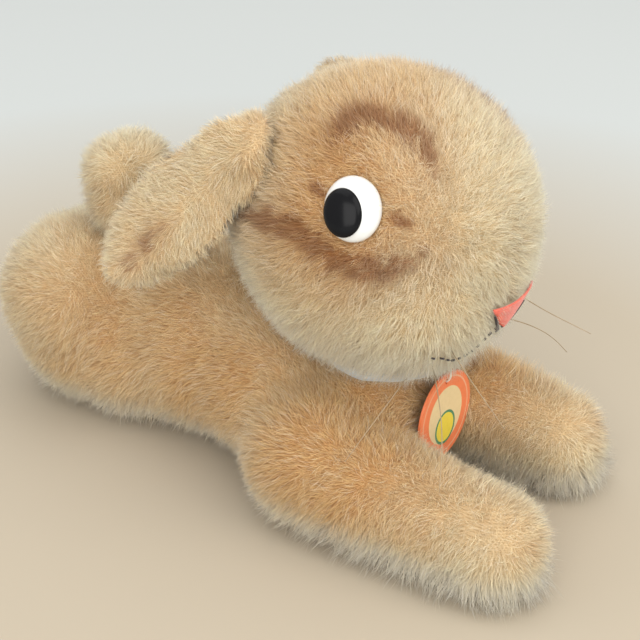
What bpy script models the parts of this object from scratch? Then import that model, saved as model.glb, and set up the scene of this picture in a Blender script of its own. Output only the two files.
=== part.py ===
"""A lying plush bunny with a jointed head, soft ears, a stub tail and a round chest tag.

Metres, +Z up. The bunny lies on the plane z = 0 and faces -Y, so its own right side is at -X.
The origin is the middle of the flat of the belly. Every cover is a fabric and pile wall, and the
covers of one limb are separate panels that meet along the seams.
"""
import math

import bmesh
import bpy
from mathutils import Matrix, Vector
from mathutils.bvhtree import BVHTree

MM = 0.001

# Driving dimensions, in millimetres.
SEAM_GAP = 0.3          # air between two panels that are sewn together
WALL = 4.5              # fabric backing and the dense foot of the pile
STUFFING_GAP = 0.5      # air between a cover and its stuffing
HEAD_CENTRE = Vector((0.0, -55.0, 88.0))
HEAD_RADII = Vector((42.0, 45.0, 43.4))
HEAD_SET_BACK = 1.6     # middle of the head behind the neck pin
HEAD_TURN = 6.0         # degrees that the head looks to its own left at rest
HEAD_SCOOP = 47.4       # radius of the hollow in the body that the head sits over
NECK_TOP = 47.9         # top of the body's neck stub
NECK_RADIUS = 16.0
NECK_BASE = 41.6        # bottom of the groove that holds the ribbon
HEAD_CUT = 48.7         # flat underside of the head
RUMP_SHIFT = 2.5        # the rump lies a little to its own left of the head
PIN_HOLE = 2.2
RIGHT_LEG_REACH = 57.0  # paw centre in front of the head's centre
LEFT_LEG_REACH = 45.0
SHOULDER_SPREAD = 30.0  # elbow centre out from the middle
LEG_SPREAD = 29.5       # paw centre out from the middle
SHOULDER_CUT = -71.5    # plane where the front legs are sewn on
BELLY_HALF_WIDTH = 21.0
BELLY_HEIGHT = 13.0
BELLY_BACK = 78.0
LEG_INSIDE = 0.5        # inner side of a front leg's cut from the middle
LEG_SLAB = 60.0         # how far the slab that cuts out a leg's panel reaches from the leg's seam
LEG_SLAB_LOW, LEG_SLAB_HIGH = (-170.0, -10.0), (-40.0, 90.0)
GUSSET_HALF_WIDTH = 12.0
GUSSET_DROP = 8.0       # bottom of the gusset under the head's centre
EYE_AZIMUTH = 78.5      # degrees round from the nose
EYE_HEIGHT = 26.5       # degrees above the middle of the head
EYE_RADIUS = 9.4
EYE_NARROW = 0.88       # width of the eye as a share of its height
EYE_RISE = 4.2
PUPIL_BACK = 1.7
PUPIL_DOWN = 1.5
PUPIL_RADII = (5.6, 6.9)
PUPIL_WELL_GAP = 0.3    # air round the pupil in its well
PUPIL_DEPTH = 2.6       # foot of the pupil above the foot of the white
SHANK_DEPTHS = (1.0, 4.0, 8.0, 12.0)
SHANK_RADIUS = 0.8
EAR_LENGTH = 60.0
EAR_WIDTH = 26.0
EAR_LAYER = 3.4
EAR_ROOT = Vector((30.6, 31.0, 29.0))    # from the head's centre, left ear, head straight
EAR_TIP = Vector((44.5, 66.5, -16.5))
EAR_TWIST_END = 0.4     # share of its length over which the ear turns its face outwards
EAR_ROOT_WIDTH = 0.55   # width at the root as a share of the full width
EAR_WIDEST = 0.5        # share of its length where the ear comes to its full width
EAR_NARROWS = 0.6       # share of its length where it starts to round off
EAR_EDGE_FALL = 3.4     # how far its side edges curl in
EAR_BOW = 2.0           # how far its middle bows in
EAR_STEPS, EAR_SPANS = 9, 4
TAIL_Y = 45.0
TAIL_FOOT = 61.4         # underside of the rounded foot of the tail
TAIL_FOOT_RADIUS = 10.5
TAIL_HEIGHT = 30.0
TAIL_RADIUS = 13.0
TAG_RADIUS = 14.0
TAG_THICKNESS = 0.8
TAG_FRONT = 20.2        # hinge of the tag in front of the neck pin
TAG_TOP = 45.0          # height of the tag's hinge
TAG_STAND = 0.6         # the card hangs this far in front of its hinge
TAG_HOLE = 0.9
THREAD_LOOP = (1.6, 2.9)
THREAD_RADIUS = 0.3
WHISKER_RADIUS = 0.2
WHISKER_SAG = 2.5
WHISKER_STEPS = 6
# Each whisker of the left cheek: the direction of its root, its course, and its length.
WHISKERS = (
    ((18.0, -18.0, -33.0), (0.70, 0.20, -0.40), 32.0),
    ((17.0, -22.0, -31.0), (0.64, -0.38, -0.40), 36.0),
    ((20.0, -29.0, -24.0), (0.35, -0.72, -0.30), 24.0),
)

# Swells of the body: the share of the rump's shift that each follows, its middle and its radii.
# The paired ones are given for the left side.
PAIRED_SWELLS = (
    (1.0, (12.5, 58.0, 29.0), (26.0, 29.5, 31.0)),      # haunch
    (1.0, (13.0, 38.0, 19.0), (21.0, 27.0, 21.0)),      # thigh
    (0.0, (27.0, -49.0, 19.5), (22.5, 24.0, 22.0)),     # shoulder
)
MIDDLE_SWELLS = (
    (1.0, (0.0, 50.0, 31.0), (24.0, 30.0, 30.0)),       # rump
    (0.5, (0.0, 12.0, 26.5), (31.0, 38.0, 29.5)),       # loin
    (0.0, (0.0, -20.0, 26.0), (33.0, 34.0, 28.5)),      # waist
    (0.0, (0.0, -44.0, 24.0), (30.0, 24.0, 24.0)),      # chest
)
ELBOW = (-58.0, 18.8)   # how far back and how high
ELBOW_RADII = (18.5, 18.0, 19.0)
PAW_HEIGHT = 15.4
PAW_RADII = (15.6, 15.4, 16.6)
LEG_SWELLS = 6
CHEEK = Vector((12.0, -14.0, -11.0))     # from the head's centre, left cheek
CHEEK_RADIUS = 25.0

# The neck joint: the bottom and top of each disc and washer.
DISC_RADIUS = 10.5
WASHER_RADIUS = 5.5
ROUND_HOLE = 1.9
LOWER_DISC, LOWER_WASHER = (41.4, 43.6), (40.2, 41.0)
UPPER_DISC, UPPER_WASHER = (54.0, 56.2), (56.6, 57.4)
PIN_HEIGHTS = (38.0, 46.0, 54.0, 58.2)
PIN_CURL_RADIUS = 2.6
PIN_CURL_HEIGHT = 60.8
PIN_RADIUS = 1.0
NECK_POCKET = 12.5      # radius of the room in the head's stuffing for the joint
NECK_POCKET_TOP = 65.5
RIBBON_PROFILE = ((17.1, 42.4), (17.9, 42.2), (18.1, 44.8), (17.9, 47.4), (17.1, 47.2))
RIBBON_SIDES = 28

# Outlines on the face, as directions from the head's centre.
NOSE = (
    (-6.2, -38.0, -13.4), (-3.0, -38.6, -12.6), (0.0, -38.8, -12.4), (3.0, -38.6, -12.6),
    (6.2, -38.0, -13.4), (5.0, -37.2, -17.0), (2.2, -35.6, -21.8), (0.0, -35.0, -23.2),
    (-2.2, -35.6, -21.8), (-5.0, -37.2, -17.0),
)
NOSE_LIFT, NOSE_THICKNESS = 0.8, 1.3
MOUTH_RIGHT = (
    (-20.5, -27.0, -25.0), (-15.0, -28.6, -28.0), (-9.0, -29.6, -29.6), (-4.0, -30.2, -29.4),
)
MOUTH_MIDDLE = (0.0, -31.2, -27.4)
MOUTH_RADIUS = 0.55

# Boxes that cut the solids reach past them to these planes.
CUT_SIDE = 90.0
CUT_FRONT = -160.0
CUT_BACK = 120.0
CUT_UNDER = -30.0
CUT_LOW, CUT_HIGH = -5.0, 80.0
CUT_TOP = 170.0

VOXEL = 2.0
SOFTEN_PASSES = 8
BALL_DETAIL = 3
BODY_FACES = 960, 600   # triangles of the outer and inner skins
HEAD_FACES = 720, 400
TAIL_FACES = 280, 160
SIDES = ("right", -1), ("left", 1)
LEGS = ("right", -1, RIGHT_LEG_REACH), ("left", 1, LEFT_LEG_REACH)

# Each finish: colour, roughness and metal.
MOHAIR = ((0.72, 0.52, 0.31), 0.9, 0.0)
MOHAIR_PALE = ((0.80, 0.66, 0.45), 0.9, 0.0)
WOOD_WOOL = ((0.70, 0.56, 0.34), 0.95, 0.0)
FIBREBOARD = ((0.30, 0.22, 0.15), 0.8, 0.0)
STEEL = ((0.55, 0.55, 0.56), 0.35, 1.0)
WHITE_PLASTIC = ((0.92, 0.92, 0.90), 0.18, 0.0)
BLACK_PLASTIC = ((0.01, 0.01, 0.012), 0.12, 0.0)
CORAL_FLOSS = ((0.72, 0.12, 0.09), 0.6, 0.0)
BLACK_FLOSS = ((0.02, 0.015, 0.015), 0.7, 0.0)
NYLON = ((0.75, 0.68, 0.55), 0.3, 0.0)
SATIN = ((0.66, 0.74, 0.82), 0.35, 0.0)
CARD = ((0.86, 0.42, 0.24), 0.6, 0.0)
THREAD = ((0.80, 0.76, 0.66), 0.8, 0.0)


def clear_scene():
    for obj in list(bpy.data.objects):
        bpy.data.objects.remove(obj, do_unlink=True)


def material(name, look):
    found = bpy.data.materials.get(name)
    if found:
        return found
    made = bpy.data.materials.new(name)
    made.use_nodes = True
    shader = made.node_tree.nodes["Principled BSDF"]
    shader.inputs["Base Color"].default_value = (*look[0], 1.0)
    shader.inputs["Roughness"].default_value = look[1]
    shader.inputs["Metallic"].default_value = look[2]
    return made


def new_object(name, mesh):
    made = bpy.data.objects.new(name, mesh)
    bpy.context.scene.collection.objects.link(made)
    return made


def evaluated_mesh(obj):
    """A new mesh of the object with its modifiers applied; the object itself is removed."""
    bpy.context.view_layer.update()
    graph = bpy.context.evaluated_depsgraph_get()
    mesh = bpy.data.meshes.new_from_object(obj.evaluated_get(graph))
    bpy.data.objects.remove(obj, do_unlink=True)
    return mesh


def mesh_of(bm):
    bmesh.ops.recalc_face_normals(bm, faces=bm.faces)
    mesh = bpy.data.meshes.new("shape")
    bm.to_mesh(mesh)
    bm.free()
    return mesh


def boolean(mesh, operation, *others):
    """The mesh after a Boolean with each of the other meshes in turn."""
    for other in others:
        body = new_object("boolean_body", mesh)
        tool = new_object("boolean_tool", other)
        cut = body.modifiers.new("cut", "BOOLEAN")
        cut.operation = operation
        cut.object = tool
        mesh = evaluated_mesh(body)
        bpy.data.objects.remove(tool, do_unlink=True)
    return mesh


def box(low, high, turn=0.0, about=(0.0, 0.0, 0.0)):
    """A box between two corners in millimetres, turned about a vertical line."""
    low, high = Vector(low) * MM, Vector(high) * MM
    bm = bmesh.new()
    bmesh.ops.create_cube(bm, size=1.0)
    stretch = Matrix.Translation((low + high) / 2) @ Matrix.Diagonal((*(high - low), 1.0))
    bmesh.ops.transform(bm, matrix=stretch, verts=bm.verts)
    pivot = Vector(about) * MM
    rotation = Matrix.Translation(pivot) @ Matrix.Rotation(math.radians(turn), 4, "Z")
    bmesh.ops.transform(bm, matrix=rotation @ Matrix.Translation(-pivot), verts=bm.verts)
    return mesh_of(bm)


def cylinder(centre, radius, low, high, sides=28):
    """A vertical cylinder, with its centre given in X and Y, in millimetres."""
    bm = bmesh.new()
    bmesh.ops.create_cone(
        bm, cap_ends=True, segments=sides, radius1=radius * MM, radius2=radius * MM,
        depth=(high - low) * MM,
        matrix=Matrix.Translation(Vector((centre[0], centre[1], (low + high) / 2)) * MM),
    )
    return mesh_of(bm)


def add_ellipsoid(bm, centre, radii):
    matrix = Matrix.Translation(Vector(centre) * MM) @ Matrix.Diagonal((*(Vector(radii) * MM), 1.0))
    bmesh.ops.create_icosphere(bm, subdivisions=BALL_DETAIL, radius=1.0, matrix=matrix)


def ball(centre, radius):
    bm = bmesh.new()
    add_ellipsoid(bm, centre, (radius, radius, radius))
    return mesh_of(bm)


def organic(blobs, grow, faces):
    """One smooth closed skin round a set of ellipsoids, each made larger by grow."""
    bm = bmesh.new()
    for centre, radii in blobs:
        add_ellipsoid(bm, centre, [radius + grow for radius in radii])
    skin = new_object("skin", mesh_of(bm))
    remesh = skin.modifiers.new("fuse", "REMESH")
    remesh.mode = "VOXEL"
    remesh.voxel_size = VOXEL * MM
    smooth = skin.modifiers.new("soften", "SMOOTH")
    smooth.factor = 0.5
    smooth.iterations = SOFTEN_PASSES
    fused = evaluated_mesh(skin)
    thin = new_object("skin", fused)
    decimate = thin.modifiers.new("thin_out", "DECIMATE")
    decimate.ratio = faces / (2 * len(fused.polygons))
    return evaluated_mesh(thin)


def shrunk(mesh, amount):
    """A copy of a closed mesh with its surface moved inwards by amount, in millimetres."""
    bm = bmesh.new()
    bm.from_mesh(mesh)
    bm.normal_update()
    for vertex in bm.verts:
        vertex.co -= vertex.normal * vertex.calc_shell_factor() * amount * MM
    return mesh_of(bm)


def finish(name, mesh, slot, look, parent):
    """Adds the named sub-part, with its material, under its parent empty."""
    mesh.name = name
    mesh.materials.clear()
    mesh.materials.append(material(slot, look))
    made = new_object(name, mesh)
    mesh.shade_smooth()
    mesh.set_sharp_from_angle(angle=math.radians(40))
    made.parent = parent
    made.matrix_parent_inverse = parent.matrix_world.inverted()


def empty(name, place, parent=None):
    made = new_object(name, None)
    made.location = Vector(place) * MM
    bpy.context.view_layer.update()
    if parent:
        made.parent = parent
        made.matrix_parent_inverse = parent.matrix_world.inverted()
        bpy.context.view_layer.update()
    return made


def chain(start, end, count):
    """Ellipsoids that run from one ball to another: each is a centre and its three radii."""
    made = []
    for step in range(count):
        part = step / (count - 1)
        centre = Vector(start[0]).lerp(Vector(end[0]), part)
        radii = Vector(start[1]).lerp(Vector(end[1]), part)
        made.append((centre, radii))
    return made


def body_blobs():
    """Balls that fill the body: rump and haunches, waist, shoulders and both front legs."""
    blobs = []
    for side in (-1, 1):
        for share, (x, y, z), radii in PAIRED_SWELLS:
            blobs.append(((RUMP_SHIFT * share + side * x, y, z), radii))
    for share, (x, y, z), radii in MIDDLE_SWELLS:
        blobs.append(((RUMP_SHIFT * share + x, y, z), radii))
    for _, side, reach in LEGS:
        elbow = ((side * SHOULDER_SPREAD, *ELBOW), ELBOW_RADII)
        paw = ((side * LEG_SPREAD, HEAD_CENTRE.y - reach, PAW_HEIGHT), PAW_RADII)
        blobs.extend(chain(elbow, paw, LEG_SWELLS))
    return blobs


def body_solid(grow, faces):
    """The body with its legs, hollowed under the head, with its neck stub and its flat underside."""
    solid = organic(body_blobs(), grow, faces)
    neck = HEAD_CENTRE.xy
    solid = boolean(
        solid, "DIFFERENCE",
        ball(HEAD_CENTRE, HEAD_SCOOP - grow),
        cylinder(neck, NECK_RADIUS + 5.0, NECK_BASE + grow, 70.0),
    )
    top = NECK_TOP + 0.65 * grow
    solid = boolean(solid, "UNION", cylinder(neck, NECK_RADIUS + 0.7 * grow, 24.0, top))
    under = box((-CUT_SIDE, CUT_FRONT, CUT_UNDER), (CUT_SIDE, CUT_BACK, -grow))
    return boolean(solid, "DIFFERENCE", under)


def leg_seam(side, reach):
    """The angle of a front leg, which runs from the shoulder out to its paw."""
    run = HEAD_CENTRE.y - reach - SHOULDER_CUT
    return math.degrees(math.atan2(side * (LEG_SPREAD - SHOULDER_SPREAD), -run))


def side_slab(side):
    """A cutting box that holds everything on one side of the middle seam."""
    low, high = sorted((side * SEAM_GAP / 2, side * CUT_SIDE))
    return box((low, CUT_FRONT, CUT_LOW), (high, CUT_BACK, CUT_HIGH))


def make_trunk(wall, torso):
    """The belly panel, cut out of the trunk's wall, and a side panel on either side of it."""
    behind = box((-CUT_SIDE, SHOULDER_CUT + SEAM_GAP, CUT_LOW), (CUT_SIDE, CUT_BACK, CUT_HIGH))
    trunk = boolean(wall, "INTERSECT", behind)
    low = Vector((-BELLY_HALF_WIDTH, CUT_FRONT, CUT_LOW))
    high = Vector((BELLY_HALF_WIDTH, BELLY_BACK, BELLY_HEIGHT))
    belly = boolean(trunk, "INTERSECT", box(low, high))
    finish("belly_panel", belly, "mohair_pale", MOHAIR_PALE, torso)
    gap = Vector((SEAM_GAP, 0.0, 1.0)), Vector((SEAM_GAP, SEAM_GAP, SEAM_GAP))
    sides = boolean(trunk, "DIFFERENCE", box(low - gap[0], high + gap[1]))
    for name, side in SIDES:
        panel = boolean(sides, "INTERSECT", side_slab(side))
        finish(f"body_panel_{name}", panel, "mohair", MOHAIR, torso)


def make_leg(name, side, reach, wall, stuffing, torso):
    """One front leg: its outer and inner panels, and its stuffing."""
    low, high = sorted((side * LEG_INSIDE, side * CUT_SIDE))
    front = box((low, CUT_FRONT, CUT_LOW), (high, SHOULDER_CUT, CUT_HIGH))
    leg = boolean(wall, "INTERSECT", front)
    pivot = (side * SHOULDER_SPREAD, SHOULDER_CUT, 0)
    angle = leg_seam(side, reach)
    looks = ("outer", side, "mohair", MOHAIR), ("inner", -side, "mohair_pale", MOHAIR_PALE)
    for place, toward, slot, look in looks:
        near = side * SHOULDER_SPREAD + toward * SEAM_GAP / 2
        far = side * SHOULDER_SPREAD + toward * LEG_SLAB
        low, high = sorted((near, far))
        slab = box((low, *LEG_SLAB_LOW), (high, *LEG_SLAB_HIGH), angle, pivot)
        cover = boolean(leg, "INTERSECT", slab)
        finish(f"leg_{name}_{place}_panel", cover, slot, look, torso)
    fill = boolean(stuffing, "INTERSECT", front)
    finish(f"leg_{name}_stuffing", fill, "wood_wool", WOOD_WOOL, torso)


def make_body(torso):
    outer = body_solid(0.0, BODY_FACES[0])
    inner = body_solid(-WALL, BODY_FACES[1])
    hole = cylinder(HEAD_CENTRE.xy, PIN_HOLE, 20.0, 60.0, 12)
    wall = boolean(outer, "DIFFERENCE", inner, hole)
    make_trunk(wall, torso)
    stuffing = shrunk(inner, STUFFING_GAP)
    pocket = cylinder(HEAD_CENTRE.xy, NECK_RADIUS + 8.0, 34.0, 70.0)
    core = boolean(stuffing, "DIFFERENCE", pocket)
    behind = box((-CUT_SIDE, SHOULDER_CUT + SEAM_GAP, CUT_LOW), (CUT_SIDE, CUT_BACK, CUT_HIGH))
    core = boolean(core, "INTERSECT", behind)
    finish("body_stuffing", core, "wood_wool", WOOD_WOOL, torso)
    for name, side, reach in LEGS:
        make_leg(name, side, reach, wall, stuffing, torso)


def turned(profile, sides):
    """A round piece about the neck's axis, from its radius and height pairs, closed on itself."""
    bm = bmesh.new()
    centre = Vector((HEAD_CENTRE.x, HEAD_CENTRE.y, 0.0))
    rings = []
    for radius, height in profile:
        ring = []
        for step in range(sides):
            angle = 2 * math.pi * step / sides
            spoke = Vector((math.cos(angle) * radius, math.sin(angle) * radius, height))
            ring.append(bm.verts.new((centre + spoke) * MM))
        rings.append(ring)
    for here, there in zip(rings, rings[1:] + rings[:1]):
        for step in range(sides):
            after = (step + 1) % sides
            bm.faces.new((here[step], here[after], there[after], there[step]))
    return mesh_of(bm)


def washer(radius, low, high):
    return turned(((ROUND_HOLE, low), (radius, low), (radius, high), (ROUND_HOLE, high)), 16)


def tube(name, points, radius, slot, look, parent, sides=2):
    """A thin rod along a smooth curve through points given in millimetres."""
    curve = bpy.data.curves.new(name, "CURVE")
    curve.dimensions = "3D"
    curve.bevel_depth = radius * MM
    curve.bevel_resolution = sides
    curve.use_fill_caps = True
    spline = curve.splines.new("POLY")
    spline.points.add(len(points) - 1)
    for point, place in zip(spline.points, points):
        point.co = (*(Vector(place) * MM), 1.0)
    mesh = evaluated_mesh(new_object(name, curve))
    bm = bmesh.new()
    bm.from_mesh(mesh)
    bmesh.ops.remove_doubles(bm, verts=bm.verts, dist=1e-6)
    finish(name, mesh_of(bm), slot, look, parent)


def make_neck(torso, head):
    """The disc joint: two fibreboard discs and steel washers drawn together by a split pin."""
    rounds = ("lower", LOWER_DISC, LOWER_WASHER, torso), ("upper", UPPER_DISC, UPPER_WASHER, head)
    for place, disc, steel, owner in rounds:
        board = washer(DISC_RADIUS, *disc)
        finish(f"neck_disc_{place}", board, "fibreboard", FIBREBOARD, owner)
        finish(f"neck_washer_{place}", washer(WASHER_RADIUS, *steel), "steel", STEEL, owner)
    x, y = HEAD_CENTRE.xy
    shank = [(x, y, height) for height in PIN_HEIGHTS]
    for step in range(1, 9):
        angle = math.pi * step / 5
        across, up = PIN_CURL_RADIUS * math.sin(angle), PIN_CURL_RADIUS * math.cos(angle)
        shank.append((x + across, y, PIN_CURL_HEIGHT - up))
    tube("neck_split_pin", shank, PIN_RADIUS, "steel", STEEL, torso)


def make_ribbon(torso):
    finish("neck_ribbon", turned(RIBBON_PROFILE, RIBBON_SIDES), "satin", SATIN, torso)


def head_blobs():
    """The near-round head, with fuller cheeks low at the front."""
    blobs = [(HEAD_CENTRE + Vector((0.0, HEAD_SET_BACK, 0.0)), HEAD_RADII)]
    for side in (-1, 1):
        middle = HEAD_CENTRE + Vector((side * CHEEK.x, CHEEK.y, CHEEK.z))
        blobs.append((middle, (CHEEK_RADIUS, CHEEK_RADIUS, CHEEK_RADIUS)))
    return blobs


def skin_tree(mesh):
    """A search tree of a closed skin, for placing what is sewn to it."""
    bm = bmesh.new()
    bm.from_mesh(mesh)
    tree = BVHTree.FromBMesh(bm)
    bm.free()
    return tree


def head_point(skin, direction, distance):
    """The point in this direction from the head's centre, at a distance outside its skin."""
    unit = Vector(direction).normalized()
    hit = skin.ray_cast((HEAD_CENTRE + unit * 90.0) * MM, -unit)[0]
    return hit / MM + unit * distance


def eye_direction(side):
    azimuth, height = math.radians(EYE_AZIMUTH), math.radians(EYE_HEIGHT)
    flat = math.cos(height)
    return Vector((side * flat * math.sin(azimuth), -flat * math.cos(azimuth), math.sin(height)))


def facing(direction):
    """A turn that takes +Z to the direction, keeping +Y as upright as it can be."""
    return direction.to_track_quat("Z", "Y").to_matrix().to_4x4()


def dome(radii, height, back, sides=20, rings=4, floor=0.0):
    """A low dome on a flat back: an eye or its pupil, looking along +Z from z = 0."""
    bm = bmesh.new()
    levels = []
    for step in range(rings):
        angle = math.pi / 2 * step / rings
        levels.append((math.cos(angle), floor + height * math.sin(angle)))
    loops = []
    for share, level in [(1.0, back)] + levels:
        loop = []
        for step in range(sides):
            turn = 2 * math.pi * step / sides
            across, up = radii[0] * share * math.cos(turn), radii[1] * share * math.sin(turn)
            loop.append(bm.verts.new(Vector((across, up, level)) * MM))
        loops.append(loop)
    for here, there in zip(loops, loops[1:]):
        for step in range(sides):
            after = (step + 1) % sides
            bm.faces.new((here[step], here[after], there[after], there[step]))
    bm.faces.new(list(reversed(loops[0])))
    tip = bm.verts.new((0, 0, (floor + height) * MM))
    for step in range(sides):
        bm.faces.new((loops[-1][step], loops[-1][(step + 1) % sides], tip))
    return mesh_of(bm)


def placed(mesh, matrix):
    mesh.transform(matrix)
    return mesh


def eye_place(skin, side):
    direction = eye_direction(side)
    return Matrix.Translation(head_point(skin, direction, 0.0) * MM) @ facing(direction)


def place_pupil(side):
    """How far the pupil sits from the middle of the white: back and down, a sideways glance."""
    return Vector((side * PUPIL_BACK, -PUPIL_DOWN, 0.0)) * MM


def make_eyes(head, skin):
    """White domed buttons with a black pupil let into the front, held by a wire shank."""
    well_radii = [radius + PUPIL_WELL_GAP for radius in PUPIL_RADII]
    for name, side in SIDES:
        place = eye_place(skin, side)
        shift = Matrix.Translation(place_pupil(side))
        white = placed(dome((EYE_RADIUS * EYE_NARROW, EYE_RADIUS), EYE_RISE, -0.6), place)
        sink = Matrix.Translation((0, 0, (PUPIL_DEPTH - PUPIL_WELL_GAP) * MM))
        well = placed(dome(well_radii, 0.2, 0.0, floor=6.0, rings=2), place @ sink @ shift)
        white = boolean(white, "DIFFERENCE", well)
        finish(f"eye_{name}_white", white, "white_plastic", WHITE_PLASTIC, head)
        pupil = placed(dome(PUPIL_RADII, 1.9, 0.0, floor=0.5), place @ shift)
        pupil.transform(Matrix.Translation(eye_direction(side) * PUPIL_DEPTH * MM))
        finish(f"eye_{name}_pupil", pupil, "black_plastic", BLACK_PLASTIC, head)
        stem = [place @ (Vector((0, 0, -depth)) * MM) / MM for depth in SHANK_DEPTHS]
        tube(f"eye_{name}_shank", stem, SHANK_RADIUS, "steel", STEEL, head)


def head_solid(grow, faces):
    solid = organic(head_blobs(), grow, faces)
    under = box((-CUT_SIDE, CUT_FRONT, 0), (CUT_SIDE, CUT_BACK, HEAD_CUT - grow))
    return boolean(solid, "DIFFERENCE", under)


def eye_cuts(skin, radii, height, back, **shape):
    """A dome at the place of either eye, to be cut away."""
    return [placed(dome(radii, height, back, **shape), eye_place(skin, side)) for _, side in SIDES]


def make_head(head):
    outer = head_solid(0.0, HEAD_FACES[0])
    inner = head_solid(-WALL, HEAD_FACES[1])
    skin = skin_tree(outer)
    pin_hole = cylinder(HEAD_CENTRE.xy, PIN_HOLE, 40.0, 70.0, 12)
    shank_holes = eye_cuts(skin, (1.5, 1.5), 0.5, -8.0, sides=12, rings=2)
    seats = eye_cuts(skin, (EYE_RADIUS * EYE_NARROW + 0.4, EYE_RADIUS + 0.4), 6.0, -1.0)
    wall = boolean(outer, "DIFFERENCE", inner, pin_hole, *shank_holes, *seats)

    slope = HEAD_CENTRE.z - GUSSET_DROP
    low = Vector((-GUSSET_HALF_WIDTH, CUT_FRONT, slope))
    high = Vector((GUSSET_HALF_WIDTH, HEAD_CENTRE.y + 60, 160))
    gusset = boolean(wall, "INTERSECT", box(low, high))
    finish("head_gusset", gusset, "mohair", MOHAIR, head)
    gap = Vector((SEAM_GAP, 10.0, SEAM_GAP)), Vector((SEAM_GAP, 10.0, 10.0))
    sides = boolean(wall, "DIFFERENCE", box(low - gap[0], high + gap[1]))
    for name, side in SIDES:
        near, far = sorted((side * SEAM_GAP / 2, side * CUT_SIDE))
        panel = boolean(sides, "INTERSECT", box((near, CUT_FRONT, 0), (far, CUT_BACK, CUT_TOP)))
        finish(f"head_panel_{name}", panel, "mohair", MOHAIR, head)

    pocket = cylinder(HEAD_CENTRE.xy, NECK_POCKET, 40.0, NECK_POCKET_TOP)
    wells = eye_cuts(skin, (2.0, 2.0), 1.0, -14.0, sides=12, rings=2)
    stuffing = boolean(shrunk(inner, STUFFING_GAP), "DIFFERENCE", pocket, *wells)
    finish("head_stuffing", stuffing, "wood_wool", WOOD_WOOL, head)
    return skin


def pad_on_head(skin, outline, lift, thickness):
    """A thin closed patch that follows the head's skin, from its outline of directions."""
    bm = bmesh.new()
    layers = []
    for height in (lift, lift + thickness):
        layers.append([bm.verts.new(head_point(skin, point, height) * MM) for point in outline])
    middle = sum((Vector(point) for point in outline), Vector()) / len(outline)
    low = bm.verts.new(head_point(skin, middle, lift) * MM)
    high = bm.verts.new(head_point(skin, middle, lift + thickness * 1.6) * MM)
    for step in range(len(outline)):
        after = (step + 1) % len(outline)
        bm.faces.new((layers[0][step], layers[0][after], layers[1][after], layers[1][step]))
        bm.faces.new((layers[0][after], layers[0][step], low))
        bm.faces.new((layers[1][step], layers[1][after], high))
    return mesh_of(bm)


def make_face(head, skin):
    """The embroidered nose, the stitched mouth line under it, and the whiskers."""
    patch = pad_on_head(skin, NOSE, NOSE_LIFT, NOSE_THICKNESS)
    finish("nose_embroidery", patch, "coral_floss", CORAL_FLOSS, head)
    mouth_left = tuple((-x, y, z) for x, y, z in reversed(MOUTH_RIGHT))
    mouth = MOUTH_RIGHT + (MOUTH_MIDDLE,) + mouth_left
    line = [head_point(skin, point, 1.0) for point in mouth]
    tube("mouth_embroidery", line, MOUTH_RADIUS, "black_floss", BLACK_FLOSS, head)
    for name, side in SIDES:
        for number, (root, course, length) in enumerate(WHISKERS, start=1):
            start = head_point(skin, (side * root[0], root[1], root[2]), 0.8)
            outward = Vector((side * course[0], course[1], course[2])).normalized()
            points = []
            for step in range(WHISKER_STEPS + 1):
                along = step / WHISKER_STEPS
                sag = Vector((0.0, 0.0, -WHISKER_SAG * along ** 2))
                points.append(start + outward * length * along + sag)
            tube(f"whisker_{name}_{number}", points, WHISKER_RADIUS, "nylon", NYLON, head, 1)


def ear_place(point, side):
    """A place of the left ear, given from the head's centre, or its mirror image."""
    return HEAD_CENTRE + Vector((side * point.x, point.y, point.z))


def ear_width(part):
    """How wide the ear is at a share of its length: narrow at the root, rounded at the tip."""
    swell = math.sin(math.pi / 2 * min(part / EAR_WIDEST, 1.0))
    width = EAR_WIDTH * (EAR_ROOT_WIDTH + (1 - EAR_ROOT_WIDTH) * swell)
    rounding = (max(part - EAR_NARROWS, 0.0) / 0.42) ** 2
    return width * math.sqrt(max(1 - rounding, 0.05))


def ear_sheet(bm, side, height):
    """One face of an ear's layer, at a height above its middle surface."""
    root, tip = ear_place(EAR_ROOT, side), ear_place(EAR_TIP, side)
    along = (tip - root).normalized()
    radial = (root - HEAD_CENTRE).normalized()
    sideways = Vector((side, 0.0, 0.0))
    sheet = []
    for step in range(EAR_STEPS + 1):
        part = step / EAR_STEPS
        turn = min(part / EAR_TWIST_END, 1.0)
        face = radial.lerp(sideways, turn * turn * (3 - 2 * turn))
        outward = (face - face.dot(along) * along).normalized()
        across = along.cross(outward)
        row = []
        for span in range(EAR_SPANS + 1):
            share = 2 * span / EAR_SPANS - 1
            bend = -EAR_EDGE_FALL * share ** 2 - EAR_BOW * math.sin(math.pi * part)
            fall = height * (1 - 0.45 * share ** 2)
            place = root + along * (EAR_LENGTH * part) + across * (ear_width(part) / 2 * share)
            row.append(bm.verts.new((place + outward * (fall + bend)) * MM))
        sheet.append(row)
    return sheet


def ear_layer(side, low, high):
    """One leaf-shaped layer of an ear, between two heights above its middle surface."""
    bm = bmesh.new()
    bottom, top = ear_sheet(bm, side, low), ear_sheet(bm, side, high)
    for step in range(EAR_STEPS):
        for span in range(EAR_SPANS):
            for sheet in (bottom, top):
                here, there = sheet[step], sheet[step + 1]
                bm.faces.new((here[span], there[span], there[span + 1], here[span + 1]))
        for span in (0, EAR_SPANS):
            bm.faces.new((bottom[step][span], bottom[step + 1][span], top[step + 1][span], top[step][span]))
    for step in (0, EAR_STEPS):
        for span in range(EAR_SPANS):
            bm.faces.new((bottom[step][span], bottom[step][span + 1], top[step][span + 1], top[step][span]))
    return mesh_of(bm)


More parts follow.
